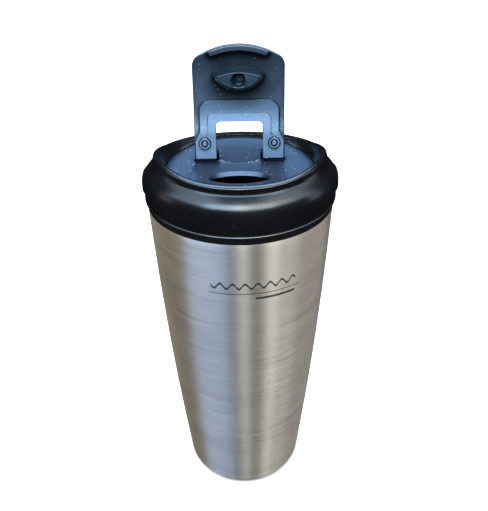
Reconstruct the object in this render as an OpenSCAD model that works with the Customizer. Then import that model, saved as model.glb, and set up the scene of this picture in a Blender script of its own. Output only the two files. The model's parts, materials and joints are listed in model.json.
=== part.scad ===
// Insulated travel mug: tapered double-walled steel tumbler, screw-on lid, flip-up drinking flap.
// Origin at the centre of the resting face, +Z up, the drinking side towards -Y. Millimetres.

/* [Body] */
// Height of the steel wall's top edge
body_h = 165; // [150:1:180]
// Outer radius of the steel wall at its top edge
body_r_top = 42; // [41:0.5:43]
// Taper of the wall, as radius lost for each millimetre of depth
body_taper = 0.07; // [0.06:0.005:0.08]
// How far the wall stands out beyond a straight taper at half height
body_belly = 1.43; // [0:0.1:2]
// Thickness of the steel sheet
sheet_t = 0.6; // [0.5:0.1:0.8]
// Radius of the rounded bottom edge
base_round = 5; // [3:0.5:6]
// Height the steel stands off the table on its foot pad
foot_gap = 0.5; // [0.3:0.1:0.8]

/* [Liner] */
// Inner radius of the drink space at its mouth
liner_r_top = 34.6; // [33:0.2:34.6]
// Inner radius of the drink space at its floor
liner_r_floor = 24.4; // [22:0.2:24.6]
// Thickness of the liner's wall
liner_t = 2; // [1.5:0.1:2]
// Height of the drink space's floor
liner_floor_z = 9; // [8:0.5:14]
// Height of the flange on which the lid's gasket seals
liner_top_z = 155; // [154:0.5:155]

/* [Collar] */
// Inner radius of the collar, clear of the lid's thread
collar_r_in = 37.6; // [37.4:0.1:37.8]
// Height of the collar above the steel edge
collar_h = 4; // [4:0.1:4.2]
// Radius of the bead round the collar's top
collar_bead_r = 42.7; // [42.4:0.1:42.8]

/* [Lid] */
// Height of the drinking lip at the front
lip_front_z = 188.2; // [187.6:0.2:188.6]
// Height of the lip's crown, over the drinking hole's sides
lip_crown_z = 189.7; // [189:0.1:190]
// Height of the cut-down lip behind the flap
lip_back_z = 181; // [180.8:0.2:182]
// Top face of the lid's deck
deck_z = 179.6; // [179.4:0.1:179.6]
// Thickness of the deck
deck_t = 2.4; // [2.2:0.1:2.6]
// Radius of the deck's visible disc
deck_r = 33.3; // [33:0.1:33.4]
// Half width of the raised drinking spout
spout_hw = 20; // [19:0.5:21]
// Advance of the lid's thread in one turn
thread_lead = 12; // [9:1:12]

/* [Flap] */
// Lean of the open flap behind the vertical, in degrees
flap_lean = 10; // [0:1:20]
// Slope of the closed flap above the horizontal, in degrees
flap_slope = 13; // [13:0.5:14]
// Half width of the flap
flap_hw = 20; // [19.6:0.1:20]
// Length of the flap from its hinge axis
flap_len = 47.3; // [46.5:0.1:47.4]
// Thickness of the flap's plate
flap_t = 3; // [2.6:0.1:3.2]
// Distance of the hinge axis behind the lid's centre
hinge_y = 8.9; // [8.8:0.1:9]
// Height of the hinge axis
hinge_z = 182.3; // [182.3:0.1:182.5]
// Radius of the hinge knuckles
knuckle_r = 2.6; // [2.5:0.1:2.6]
// Radius of the hinge pins
pin_r = 1; // [0.8:0.1:1.1]
// Height that the sealing plug stands out of the flap
plug_h = 5.6; // [5:0.1:5.8]

/* [Hidden] */
$fn = 96;

steel = "silver";
black = "#1b1c20";
slate = "#33363d";
soft_grey = "#4b4e55";

gap = 0.05;                          // room between pieces that touch
run_gap = 0.06;                      // running room round a hinge pin
wall_steps = 10;                     // straight lengths that make the wall's curve
inner_r_top = body_r_top - sheet_t;  // inside of the steel at its top edge
base_hole_r = 22;                    // opening in the steel's rolled-in bottom
plate_t = 0.8;                       // thickness of the base plate
flange_t = 2;                        // thickness of the liner's flange
flange_r = 40.4;                     // outer radius of the liner's flange
seal_t = 2;                          // height of both sealing rings
gasket_in = 34.9;                    // inner radius of the lid's gasket
gasket_out = 37.1;                   // outer radius of the lid's gasket
spigot_bottom = liner_top_z + seal_t + gap;
lid_bottom = body_h + collar_h + 0.3;
sleeve_in = 34.2;                    // bore of the lid's threaded sleeve
sleeve_out = 36.6;                   // root radius of the lid's thread
thread_h = 0.45;                     // height of a thread ridge
thread_pitch = thread_lead / 3;      // a thread with three starts
lid_flange_t = 2;                    // thickness of the sleeve's flange
deck_flange_z = deck_z - deck_t - 1.9;
lip_r = 38.2;                        // outer radius of the drinking lip
lip_in_r = 35.3;                     // inner radius of the drinking lip
lip_over = 191;                      // top of the lip before its saddle is cut
panel_e = knuckle_r;                 // face of the hinge bracket, in front of the hinge axis
bracket_t = 0.8;                     // thickness of the hinge bracket
plate_e = panel_e - bracket_t;       // underside of the flap's plate, in front of the hinge axis
leg_in = 10.4;                       // inner side of the flap's legs
window_top = 14.6;                   // top of the gap between the legs, from the hinge axis
pin_in = 8.6;                        // inner end of a hinge pin
pin_out = 13.6;                      // outer end of a hinge pin
stake_x = 15.5;                      // distance of a stake from the middle
stake_d = 5.1;                       // distance of a stake from the hinge axis
stake_r = 1.1;                       // radius of a stake's shank
stake_end = 0.9;                     // end of a stake's shank, behind the hinge axis
stake_h = 0.7;                       // height of a stake above the bracket
catch_h = 1.7;                       // height of the catch along the flap's tip
catch_hw = 13.4;                     // half width of the catch
catch_t = 2.6;                       // thickness of the catch
tip_r = 33.8;                        // radius of the flap's tip
plug_tip_x = 10.2;                   // half width of the plug's face
plug_mid = 34.3;                     // distance of the plug's tips from the hinge axis
plug_front = 2.3;                    // bulge of the plug's face towards the flap's tip
plug_back = 5.3;                     // bulge of the plug's face towards the hinge
plug_draft = 16;                     // slope of the plug's sides, in degrees
seat_gap = 0.35;                     // room between the plug and its seat
scoop_y = 15.3;                      // centre of the scoop's round end, behind the lid's centre
scoop_r = 11.3;                      // radius of the scoop's round end
scoop_back = 20.6;                   // straight back edge of the scoop
scoop_tilt = 5;                      // slope of the scoop's floor, in degrees
cheek_x = 8.5;                       // inner face of a hinge cheek
cheek_t = 1.6;                       // thickness of a hinge cheek
cheek_r = knuckle_r - 0.4;           // radius of a hinge cheek's round top
rim_in = 31.5;                       // inner radius of the ring under the deck
rim_out = 36.5;                      // outer radius of the ring under the deck

// Outer radius of the steel wall at a height
function wall_r(z) = body_r_top - body_taper * (body_h - z)
    + 4 * body_belly * z * (body_h - z) / (body_h * body_h);

// Points down the wall, moved inwards by a thickness
function wall_line(z_low, z_high, inwards) =
    [for (i = [0 : wall_steps])
        let (z = z_high - (z_high - z_low) * i / wall_steps) [wall_r(z) - inwards, z]];

// Inner radius of the liner at a height
function liner_r(z) = liner_r_floor
    + (liner_r_top - liner_r_floor) * (z - liner_floor_z) / (liner_top_z - liner_floor_z);

// Points of a quarter round about a centre, from one angle to another
function arc_line(cx, cz, r, a0, a1, steps) =
    [for (i = [0 : steps]) let (a = a0 + (a1 - a0) * i / steps) [cx + r * cos(a), cz + r * sin(a)]];

// Radius of an arc from its half chord and its rise
function arc_r(half, rise) = (half * half + rise * rise) / (2 * rise);

// A ring with a rectangular section
module ring(r_in, r_out, z_low, z_high) {
    rotate_extrude() translate([r_in, z_low]) square([r_out - r_in, z_high - z_low]);
}

// Half of a sheet-metal cup: the outside line, then the inside line back
module outer_shell() {
    round_z = foot_gap + base_round;
    round_r = wall_r(round_z) - base_round;
    outside = concat(wall_line(round_z, body_h, 0), arc_line(round_r, round_z, base_round, -9, -90, 9),
                     [[base_hole_r, foot_gap]]);
    inside = concat([[base_hole_r, foot_gap + sheet_t]],
                    arc_line(round_r, round_z, base_round - sheet_t, -90, -9, 9),
                    wall_line(body_h, round_z, sheet_t));
    color(steel) rotate_extrude() polygon(concat(outside, inside));
}

// Pressed disc that closes the steel's bottom from inside
module base_plate() {
    low = foot_gap + sheet_t + gap;
    color(steel) difference() {
        ring(0, base_hole_r + 2.6, low, low + plate_t);
        ring(14, 16, low - 1, low + 0.3);
    }
}

// Soft disc in the bottom's opening, on which the mug rests
module foot_pad() {
    color(slate) difference() {
        cylinder(r = base_hole_r - 0.2, h = foot_gap + sheet_t);
        for (r = [6 : 5 : 16]) ring(r, r + 1.6, -1, 0.3);
    }
}

// Insulation that fills the space between the liner and the steel
module foam_insulation() {
    low = foot_gap + sheet_t + plate_t + 3 * gap;
    high = liner_top_z - flange_t - gap;
    skin = sheet_t + 0.25;
    corner_z = foot_gap + base_round;
    corner_r = wall_r(corner_z) - base_round;
    out_line = concat([[0, low], [corner_r - 1, low]],
                      arc_line(corner_r, corner_z, base_round - skin - 0.3, -60, -9, 4),
                      [for (i = [wall_steps : -1 : 0]) wall_line(corner_z + 1, high, skin)[i]]);
    in_line = [[liner_r(high) + liner_t + 0.1, high],
               [liner_r_floor + liner_t + 0.1, liner_floor_z],
               [liner_r_floor - 2.9, liner_floor_z - liner_t - 0.1],
               [0, liner_floor_z - liner_t - 0.1]];
    color("khaki") rotate_extrude() polygon(concat(out_line, in_line));
}

// Cup that holds the drink, with a flat flange at its mouth
module inner_liner() {
    corner = 5;
    floor_r = liner_r_floor - corner;
    color(slate) rotate_extrude() polygon(concat(
        [[0, liner_floor_z], [0, liner_floor_z - liner_t], [floor_r + 1.5, liner_floor_z - liner_t]],
        [[liner_r_floor + liner_t, liner_floor_z + 2]],
        [[liner_r(liner_top_z - flange_t) + liner_t, liner_top_z - flange_t]],
        [[flange_r, liner_top_z - flange_t], [flange_r, liner_top_z], [liner_r_top, liner_top_z]],
        [[liner_r(liner_floor_z + corner), liner_floor_z + corner]],
        arc_line(floor_r, liner_floor_z + corner, corner, -10, -90, 6)));
}

// Ring that seals the collar to the liner's flange
module collar_seal() {
    color(soft_grey) ring(38.2, flange_r, liner_top_z + gap, spigot_bottom - gap);
}

// Black ring over the steel's edge; its spigot carries the thread for the lid
module collar() {
    top = body_h + collar_h;
    color(black) {
        rotate_extrude() polygon([
            [collar_r_in, spigot_bottom], [inner_r_top - 0.75, spigot_bottom],
            [inner_r_top - 0.1, body_h - 2], [inner_r_top - 0.1, body_h + gap],
            [body_r_top + 0.2, body_h + gap], [body_r_top + 0.2, top - 0.9],
            [collar_bead_r, top - 0.6], [collar_bead_r, top - 0.25],
            [collar_bead_r - 0.3, top], [collar_r_in + 0.6, top], [collar_r_in, top - 0.6]]);
        for (i = [0 : 2]) thread_ridge(collar_r_in + 0.1, collar_r_in - 0.4, 160.2 + i * thread_pitch);
    }
}

// Ridge of the thread: a ring with sloping flanks, from its root radius to its crest
module thread_ridge(root, crest, z) {
    rotate_extrude() polygon([[root, z - 0.9], [crest, z - 0.35], [crest, z + 0.35], [root, z + 0.9]]);
}

// Flat ring under the lid's sleeve, pressed on the liner's flange
module lid_gasket() {
    color(soft_grey) ring(gasket_in, gasket_out, liner_top_z + gap, spigot_bottom - gap);
}

// Threaded sleeve of the lid, with a flange that meets the collar
module lid_insert() {
    top = deck_flange_z - gap;
    color(black) {
        ring(sleeve_in, sleeve_out, spigot_bottom, top);
        ring(sleeve_out - 0.1, 41.1, lid_bottom, lid_bottom + lid_flange_t);
        for (i = [0 : 2])
            thread_ridge(sleeve_out - 0.1, sleeve_out + thread_h, 158.2 + i * thread_pitch);
    }
}

// Side view of the space above the lip: the saddle that is cut through it along X
module saddle_outline() {
    polygon([[-60, lip_front_z], [-34, lip_front_z], [-27, lip_front_z + 0.8], [-19, lip_crown_z],
             [-10, lip_crown_z - 0.3], [0, lip_front_z - 0.2], [9, 186], [17, 184.1], [25, 182.2],
             [31, lip_back_z + 0.1], [60, lip_back_z], [60, 200], [-60, 200]]);
}

// Grip skirt, shoulder and drinking lip, one shell round the whole lid
module lid_shell() {
    color(black) difference() {
        rotate_extrude() polygon([
            [42.3, lid_bottom], [42.75, lid_bottom + 0.5], [43.1, 172], [43.15, 174.5], [42.9, 177],
            [42.2, 179], [41, 180.6], [39.6, 181.8], [38.7, 183.2], [lip_r, 185], [lip_r - 0.2, lip_over],
            [lip_in_r + 0.1, lip_over], [lip_in_r, 184], [deck_r + 0.15, deck_z + 0.2],
            [deck_r + 0.15, deck_z - deck_t + 0.1], [36.8, deck_z - deck_t + 0.1], [37, 178.6],
            [38.8, 178.6], [40.6, 177], [41.2, 174.5], [41.2, lid_bottom]]);
        rotate([90, 0, 90]) linear_extrude(height = 100, center = true) saddle_outline();
    }
}

// Closed place of something drawn on the upright flap
module on_closed_flap() {
    translate([0, hinge_y, hinge_z]) rotate([90 - flap_slope, 0, 0]) children();
}

// Open place of something drawn on the upright flap
module on_open_flap() {
    translate([0, hinge_y, hinge_z]) rotate([-flap_lean, 0, 0]) children();
}

// Lens-shaped peg with drafted sides, from one distance in front of the hinge axis to another.
// Each side is a cone; grow moves both sides outwards.
module lens_peg(e_low, e_high, grow) {
    face_e = plate_e + plug_h;
    front_r = arc_r(plug_tip_x, plug_front);
    back_r = arc_r(plug_tip_x, plug_back);
    low = (face_e - e_low) * tan(plug_draft) + grow;
    high = (face_e - e_high) * tan(plug_draft) + grow;
    intersection() {
        translate([0, -e_low, plug_mid + plug_front - front_r]) rotate([90, 0, 0])
            cylinder(h = e_high - e_low, r1 = front_r + low, r2 = front_r + high);
        translate([0, -e_low, plug_mid - plug_back + back_r]) rotate([90, 0, 0])
            cylinder(h = e_high - e_low, r1 = back_r + low, r2 = back_r + high);
        translate([-11.3 - grow, -e_high, plug_mid - 20]) cube([22.6 + 2 * grow, e_high - e_low, 40]);
    }
}

// Space inside the lip, a little clear of the shell
module lip_space() {
    rotate_extrude() polygon([[0, 170], [deck_r, 170], [deck_r, deck_z], [lip_in_r - 0.15, 184],
                              [lip_in_r - 0.15, 195], [0, 195]]);
}

// Raised drinking spout: a ramp up from the hinge, then a gentle rise to the lip
module spout_block() {
    top = [[2.2, 180.1], [-15, 184.5], [-36, 187.1]];
    rotate([90, 0, 90]) {
        difference() {
            linear_extrude(height = 2 * spout_hw, center = true)
                polygon(concat(top, [[-36, deck_z - 1], [2.2, deck_z - 1]]));
            linear_extrude(height = 2 * spout_hw - 4, center = true)
                polygon([[-3, deck_z - 2], [-3, 179.3], [-15, 182.3], [-31.4, 184.4],
                         [-31.4, deck_z - 2]]);
        }
        linear_extrude(height = 30, center = true)
            polygon([[-14, 182], [-15, 184.5], [-36, 187.1], [-36, 181.5], [-14, 181.5]]);
    }
}

// Shallow D-shaped hollow in the deck that leaves room for a fingertip under the flap
module thumb_scoop() {
    intersection() {
        union() {
            translate([0, scoop_y, deck_z - 5]) cylinder(r = scoop_r, h = 10);
            translate([-scoop_r, scoop_y, deck_z - 5]) cube([2 * scoop_r, scoop_back - scoop_y, 10]);
        }
        translate([-20, scoop_back, deck_z]) rotate([scoop_tilt, 0, 0]) translate([0, -30, 0])
            cube([40, 30, 10]);
    }
}

// Upright cheek on the deck that holds one hinge pin
module hinge_cheek() {
    translate([cheek_x, hinge_y, 0]) {
        translate([0, 0, hinge_z]) rotate([0, 90, 0]) cylinder(r = cheek_r, h = cheek_t);
        translate([0, -cheek_r, deck_z - deck_t]) cube([cheek_t, 2 * cheek_r, hinge_z - deck_z + deck_t]);
    }
}

// Deck of the lid, with the spout, its drinking hole, the finger hollow and the hinge cheeks
module lid_deck() {
    low = deck_z - deck_t;
    color(black) difference() {
        union() {
            difference() {
                union() {
                    ring(0, deck_r, low, deck_z);
                    ring(rim_in, rim_out, deck_flange_z, low);
                }
                thumb_scoop();
                translate([-18, -31, low - 1]) cube([36, 28, 10]);
            }
            intersection() {
                spout_block();
                lip_space();
            }
            for (side = [0, 1]) mirror([side, 0, 0]) hinge_cheek();
        }
        on_closed_flap() lens_peg(1, 14, seat_gap);
        translate([0, hinge_y, hinge_z]) rotate([0, 90, 0])
            cylinder(r = pin_r + 0.02, h = 30, center = true);
    }
}

// Two short pins, one through each cheek
module hinge_pins() {
    color(steel) for (side = [0, 1]) mirror([side, 0, 0])
        translate([pin_in, hinge_y, hinge_z]) rotate([0, 90, 0]) cylinder(r = pin_r, h = pin_out - pin_in);
}

// Outline of the flap: straight sides, rounded corners and one wide arc at the tip
module flap_outline() {
    corner = 5;
    corner_x = flap_hw - corner;
    corner_d = 38.2;
    tip_c = flap_len - tip_r;
    reach = 1.6;
    intersection() {
        translate([0, tip_c]) circle(r = tip_r);
        union() {
            polygon([[0, tip_c], [corner_x * reach, tip_c + (corner_d - tip_c) * reach],
                     [-corner_x * reach, tip_c + (corner_d - tip_c) * reach]]);
            translate([-flap_hw, 0]) square([2 * flap_hw, corner_d]);
            for (side = [-1, 1]) translate([side * corner_x, corner_d]) circle(r = corner);
        }
    }
}

// Outline of the gap between the flap's legs, with rounded top corners
module leg_gap(half, top, corner) {
    translate([-half, -10]) square([2 * half, 10 + top - corner]);
    translate([corner - half, top - 2 * corner]) square([2 * (half - corner), 2 * corner]);
    for (side = [-1, 1]) translate([side * (half - corner), top - corner]) circle(r = corner);
}

// A flat shape drawn on the flap, between two distances in front of the hinge axis
module flap_slab(e_low, e_high) {
    translate([0, -e_low, 0]) rotate([90, 0, 0]) linear_extrude(height = e_high - e_low) children();
}

// Plate of the flap, with its two legs, hinge knuckles and the catch along its tip
module flap_cover() {
    color(black) on_open_flap() difference() {
        union() {
            flap_slab(plate_e - flap_t, plate_e) difference() {
                flap_outline();
                leg_gap(leg_in, window_top, 2.2);
            }
            for (side = [0, 1]) mirror([side, 0, 0])
                translate([leg_in, 0, 0]) rotate([0, 90, 0]) cylinder(r = knuckle_r, h = flap_hw - leg_in);
            flap_slab(plate_e, plate_e + catch_h) intersection() {
                flap_outline();
                difference() {
                    translate([-catch_hw, flap_len - 10]) square([2 * catch_hw, 12]);
                    translate([0, flap_len - catch_t - tip_r]) circle(r = tip_r);
                }
            }
        }
        translate([-25, -panel_e - 1, -0.7]) cube([50, bracket_t + 1 + gap, 12]);
        rotate([0, 90, 0]) cylinder(r = pin_r + run_gap, h = 2 * pin_out + 0.4, center = true);
        for (side = [-1, 1]) translate([side * stake_x, stake_end + gap, stake_d]) rotate([90, 0, 0])
            cylinder(r = stake_r + gap, h = 10);
    }
}

// Thin U-shaped plate under the flap's legs
module hinge_bracket() {
    half = 17.5;
    top = 24.2;
    low = -0.6;
    corner = 5;
    color(slate) on_open_flap() difference() {
        flap_slab(plate_e + gap, panel_e) difference() {
            union() {
                translate([-half, 8]) square([2 * half, top - corner - 8]);
                translate([corner - half, 8]) square([2 * (half - corner), top - 8]);
                for (side = [-1, 1]) translate([side * (half - corner), top - corner]) circle(r = corner);
                translate([-flap_hw, low]) square([2 * flap_hw, 11.6]);
            }
            leg_gap(leg_in, window_top, 2.2);
        }
        for (side = [-1, 1]) translate([side * stake_x, -plate_e, stake_d]) rotate([90, 0, 0])
            cylinder(r = stake_r + gap, h = 4, center = true);
    }
}

// Two stakes that fasten the bracket, each with a domed head in a ring
module bracket_stakes() {
    color(slate) on_open_flap() for (side = [-1, 1])
        translate([side * stake_x, 0, stake_d]) rotate([90, 0, 0]) {
            translate([0, 0, -stake_end]) cylinder(r = stake_r, h = stake_end + panel_e + stake_h);
            translate([0, 0, panel_e + gap]) difference() {
                cylinder(r = 2.4, h = stake_h - 0.15);
                translate([0, 0, stake_h - 0.4]) cylinder(r = 1.5, h = 1);
            }
        }
}

// Soft plug that closes the drinking hole, with a dimple in its face
module sip_plug() {
    color(slate) on_open_flap() difference() {
        lens_peg(plate_e + gap, plate_e + plug_h, 0);
        translate([0, -plate_e - plug_h - 1, plug_mid - 1.3]) rotate([90, 0, 0])
            cylinder(r1 = 2, r2 = 3, h = 5, center = true);
    }
}

outer_shell();
base_plate();
foot_pad();
foam_insulation();
inner_liner();
collar_seal();
collar();
lid_gasket();
lid_insert();
lid_shell();
lid_deck();
hinge_pins();
flap_cover();
hinge_bracket();
bracket_stakes();
sip_plug();
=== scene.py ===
import json
import math

import bmesh
import bpy
from mathutils import Matrix, Vector


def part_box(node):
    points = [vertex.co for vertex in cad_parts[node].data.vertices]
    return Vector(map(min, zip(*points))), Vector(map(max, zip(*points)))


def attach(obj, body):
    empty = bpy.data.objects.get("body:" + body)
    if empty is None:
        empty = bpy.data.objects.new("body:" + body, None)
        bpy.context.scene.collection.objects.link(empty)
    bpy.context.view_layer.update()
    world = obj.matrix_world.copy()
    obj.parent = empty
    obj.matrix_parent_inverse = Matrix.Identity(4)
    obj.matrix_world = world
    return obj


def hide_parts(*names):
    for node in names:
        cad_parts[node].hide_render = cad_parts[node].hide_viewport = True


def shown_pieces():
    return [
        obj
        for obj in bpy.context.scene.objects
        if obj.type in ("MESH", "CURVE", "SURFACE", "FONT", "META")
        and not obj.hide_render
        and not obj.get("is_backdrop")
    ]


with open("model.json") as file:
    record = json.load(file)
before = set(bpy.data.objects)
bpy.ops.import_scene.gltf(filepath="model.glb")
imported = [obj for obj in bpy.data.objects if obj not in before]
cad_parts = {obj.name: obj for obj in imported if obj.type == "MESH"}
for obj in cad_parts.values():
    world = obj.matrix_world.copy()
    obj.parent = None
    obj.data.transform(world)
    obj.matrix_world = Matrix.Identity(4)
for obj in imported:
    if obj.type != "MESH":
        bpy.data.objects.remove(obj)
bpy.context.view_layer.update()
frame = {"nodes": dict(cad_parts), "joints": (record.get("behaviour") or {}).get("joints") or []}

# ---------------------------------------------------------------- sizes, in millimetres
MM = 0.001


def node_box_mm(node):
    """Lowest and highest corners of a CAD node at rest, in millimetres."""
    low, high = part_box(node)
    return [v / MM for v in low], [v / MM for v in high]


SHELL_LOW, SHELL_HIGH = node_box_mm("outer_shell")
BODY_H = SHELL_HIGH[2]              # top edge of the steel wall
BODY_R = SHELL_HIGH[0]              # radius of the steel wall at its top edge
FOOT_GAP = SHELL_LOW[2]             # the steel's height off the table
COLLAR_TOP = node_box_mm("collar")[1][2]
LID_BOTTOM = node_box_mm("lid_shell")[0][2]
SHEET_T = 0.6
TAPER = 0.07                        # radius lost for each millimetre of depth
BELLY = 1.43                        # how far the wall stands out at half height
BASE_ROUND = 5.0
DECK_Z = 179.6
DECK_R = 33.3
DECK_LOW = 177.2
SCOOP_Y = 15.3                      # middle and radius of the round end of the deck's scoop
SCOOP_R = 11.3
SCOOP_BACK = 20.6
FLAP_HINGE = next(j for j in frame["joints"] if j["name"] == "flap_hinge")
HINGE_Y, HINGE_Z = (v / MM for v in FLAP_HINGE["pos_m"][1:])
FLAP_LEAN = math.radians(10)
FLAP_SLOPE = math.radians(13)
FLAP_HW = 20.0
FLAP_LEN = 47.3
TIP_R = 33.8                        # radius of the flap's tip, and of its corners
CORNER_R = 5.0
PANEL_E = 2.6                       # bracket's face, in front of the hinge axis
PLATE_E = 1.8                       # underside of the flap's plate, in front of the hinge axis
PLATE_T = 3.0
CATCH_H = 1.7
BAND_E = PANEL_E - 0.22             # where the bracket's raised band starts
FOOT_END = 2.6                      # the legs' reach below the hinge axis, and their lower corner
FOOT_R = 0.7
STAKE_X = 15.5                      # place of the stakes: sideways, and along the flap
STAKE_D = 5.1
STAKE_HOLE = 2.85
POCKET_R = 3.7                      # room in the deck for the swing of the legs' corners


def wall_r(z):
    """Outer radius of the steel wall at a height."""
    return BODY_R - TAPER * (BODY_H - z) + 4 * BELLY * z * (BODY_H - z) / BODY_H ** 2


# ---------------------------------------------------------------- mesh helpers
def smoothstep(low, high, x):
    t = min(1.0, max(0.0, (x - low) / (high - low)))
    return t * t * (3 - 2 * t)


def make_object(name, verts, faces):
    """A mesh object from points in millimetres."""
    mesh = bpy.data.meshes.new(name)
    mesh.from_pydata([[c * MM for c in v] for v in verts], [], faces)
    obj = bpy.data.objects.new(name, mesh)
    bpy.context.scene.collection.objects.link(obj)
    clean(obj)
    return obj


def clean(obj, sharp_deg=34):
    """Merges doubled points, turns the normals outwards and keeps only real corners sharp."""
    bm = bmesh.new()
    bm.from_mesh(obj.data)
    bmesh.ops.remove_doubles(bm, verts=bm.verts, dist=1e-7)
    bmesh.ops.dissolve_degenerate(bm, dist=1e-7, edges=bm.edges)
    bmesh.ops.recalc_face_normals(bm, faces=bm.faces)
    for face in bm.faces:
        face.smooth = True
    for edge in bm.edges:
        edge.smooth = len(edge.link_faces) != 2 or edge.calc_face_angle(0) < math.radians(sharp_deg)
    bm.to_mesh(obj.data)
    bm.free()


def grid_faces(rows, columns, close_rows=True, close_columns=True):
    """Quads of a grid of points, row by row, closed on itself where asked."""
    faces = []
    for i in range(rows if close_rows else rows - 1):
        for j in range(columns if close_columns else columns - 1):
            a, b = i, (i + 1) % rows
            c, d = j, (j + 1) % columns
            faces.append((a * columns + c, a * columns + d, b * columns + d, b * columns + c))
    return faces


def arc(cx, cy, r, start_deg, end_deg, steps):
    """Points along an arc."""
    turn = [math.radians(start_deg + (end_deg - start_deg) * i / steps) for i in range(steps + 1)]
    return [(cx + r * math.cos(a), cy + r * math.sin(a)) for a in turn]


def lathe(name, outline, turns=224):
    """Turns a closed outline of (radius, height) points about the mug's axis."""
    verts = []
    for i in range(turns):
        a = 2 * math.pi * i / turns
        verts += [(r * math.cos(a), r * math.sin(a), z) for r, z in outline]
    return make_object(name, verts, grid_faces(turns, len(outline)))


def prism(name, outline, low, high, place, edge=0.0):
    """A closed outline drawn between two depths, with softened rims.
    place turns (u, v, depth) into a point of the mug's frame."""
    n = len(outline)
    verts = [place(u, v, low) for u, v in outline] + [place(u, v, high) for u, v in outline]
    faces = [tuple(range(n)), tuple(range(2 * n - 1, n - 1, -1))]
    faces += [(i, (i + 1) % n, (i + 1) % n + n, i + n) for i in range(n)]
    obj = make_object(name, verts, faces)
    if edge > 0:
        soften_rims(obj, edge)
    return obj


def soften_rims(obj, edge):
    """Rounds the edges round the two flat faces of a prism."""
    bm = bmesh.new()
    bm.from_mesh(obj.data)
    flats = sorted(bm.faces, key=lambda f: len(f.verts))[-2:]
    rims = list({e for f in flats for e in f.edges})
    bmesh.ops.bevel(bm, geom=rims, offset=edge * MM, segments=3, profile=0.5, affect="EDGES",
                    clamp_overlap=True)
    bm.to_mesh(obj.data)
    bm.free()
    clean(obj)


def baked(obj):
    """Replaces the object's mesh by its modified mesh."""
    graph = bpy.context.evaluated_depsgraph_get()
    mesh = bpy.data.meshes.new_from_object(obj.evaluated_get(graph))
    obj.modifiers.clear()
    obj.data = mesh
    return obj


def carve(obj, tool, operation):
    """Joins, cuts or intersects obj with tool, and removes tool."""
    step = obj.modifiers.new(operation, "BOOLEAN")
    step.operation = operation
    step.object = tool
    step.solver = "EXACT"
    baked(obj)
    bpy.data.objects.remove(tool)
    clean(obj)
    return obj


def soften_corners(obj, width, angle_deg=34, segments=2):
    """Rounds every sharp edge of a finished solid."""
    step = obj.modifiers.new("soft", "BEVEL")
    step.width = width * MM
    step.segments = segments
    step.limit_method = "ANGLE"
    step.angle_limit = math.radians(angle_deg)
    step.use_clamp_overlap = True
    baked(obj)
    clean(obj)
    return obj


def even_shading(obj):
    """Keeps flat faces flat next to their rounded edges."""
    step = obj.modifiers.new("normals", "WEIGHTED_NORMAL")
    step.keep_sharp = True
    step.weight = 80
    return obj


# ---------------------------------------------------------------- the body
def steel_wall():
    """Tapered, slightly bellied wall with a rolled top edge and a rounded bottom."""
    round_z = FOOT_GAP + BASE_ROUND
    round_r = wall_r(round_z) - BASE_ROUND
    steps = 48
    heights = [BODY_H - 0.4 - (BODY_H - 0.4 - round_z) * i / steps for i in range(steps + 1)]
    outside = [(wall_r(BODY_H) - 0.45, BODY_H), (wall_r(BODY_H) - 0.12, BODY_H - 0.1)]
    outside += [(wall_r(z), z) for z in heights]
    outside += arc(round_r, round_z, BASE_ROUND, -9, -90, 10)
    outside += [(22.4, FOOT_GAP), (22.1, FOOT_GAP + 0.2)]
    inside = [(22.1, FOOT_GAP + SHEET_T)]
    inside += arc(round_r, round_z, BASE_ROUND - SHEET_T, -90, -9, 8)
    inside += [(wall_r(z) - SHEET_T, z) for z in reversed(heights[::4])]
    return lathe("steel_wall", outside + inside, turns=288)


def collar_ring():
    """Black ring over the steel's edge, with the bead below the lid's seam."""
    top = COLLAR_TOP
    outline = [(37.6, 157.1), (40.6, 157.1), (41.25, 163), (41.25, 165.06), (42.15, 165.06)]
    outline += [(42.2, 165.3), (42.2, top - 1.45), (42.35, top - 1.3)]
    outline += arc(42.4, top - 0.66, 0.65, -60, 88, 8)
    outline += [(41.9, top), (38.2, top), (37.75, top - 0.2), (37.6, top - 0.6)]
    return lathe("collar_ring", outline)


# ---------------------------------------------------------------- the lid's shell
# The lip's highest line: place from front to back, and height
LIP_KNOTS = [(-44, 188.4), (-33, 188.35), (-27, 189.0), (-19, 189.7), (-10, 189.2), (0, 187.9),
             (9, 186.1), (17, 184.1), (25, 182.2), (31, 181.1), (37, 180.8), (44, 180.8)]


# The lip's rounded top: steps inward from its outer edge, and below its highest line
LIP_ROUND = [(0, 1.15), (0.06, 0.88), (0.25, 0.6), (0.62, 0.33), (1.1, 0.13), (1.6, 0), (1.98, 0.06),
             (2.28, 0.34), (2.42, 0.72), (2.45, 1.15)]


def lip_top(y):
    """Height of the lip where its saddle-shaped top passes y."""
    y = min(max(y, LIP_KNOTS[0][0]), LIP_KNOTS[-1][0])
    i = max(k for k in range(len(LIP_KNOTS) - 1) if LIP_KNOTS[k][0] <= y)
    (y0, z0), (y1, z1) = LIP_KNOTS[i], LIP_KNOTS[i + 1]
    before = LIP_KNOTS[max(i - 1, 0)]
    after = LIP_KNOTS[min(i + 2, len(LIP_KNOTS) - 1)]
    m0 = (z1 - before[1]) / (y1 - before[0]) * (y1 - y0)
    m1 = (after[1] - z0) / (after[0] - y0) * (y1 - y0)
    t = (y - y0) / (y1 - y0)
    return ((2 * t ** 3 - 3 * t ** 2 + 1) * z0 + (t ** 3 - 2 * t ** 2 + t) * m0
            + (3 * t ** 2 - 2 * t ** 3) * z1 + (t ** 3 - t ** 2) * m1)


def shoulder_shift(turn):
    """How far the shoulder is raised at an angle from the front: up in front, down behind."""
    return -0.45 + 3.0 * math.cos(turn) - 0.65 * math.cos(2 * turn)


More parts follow.
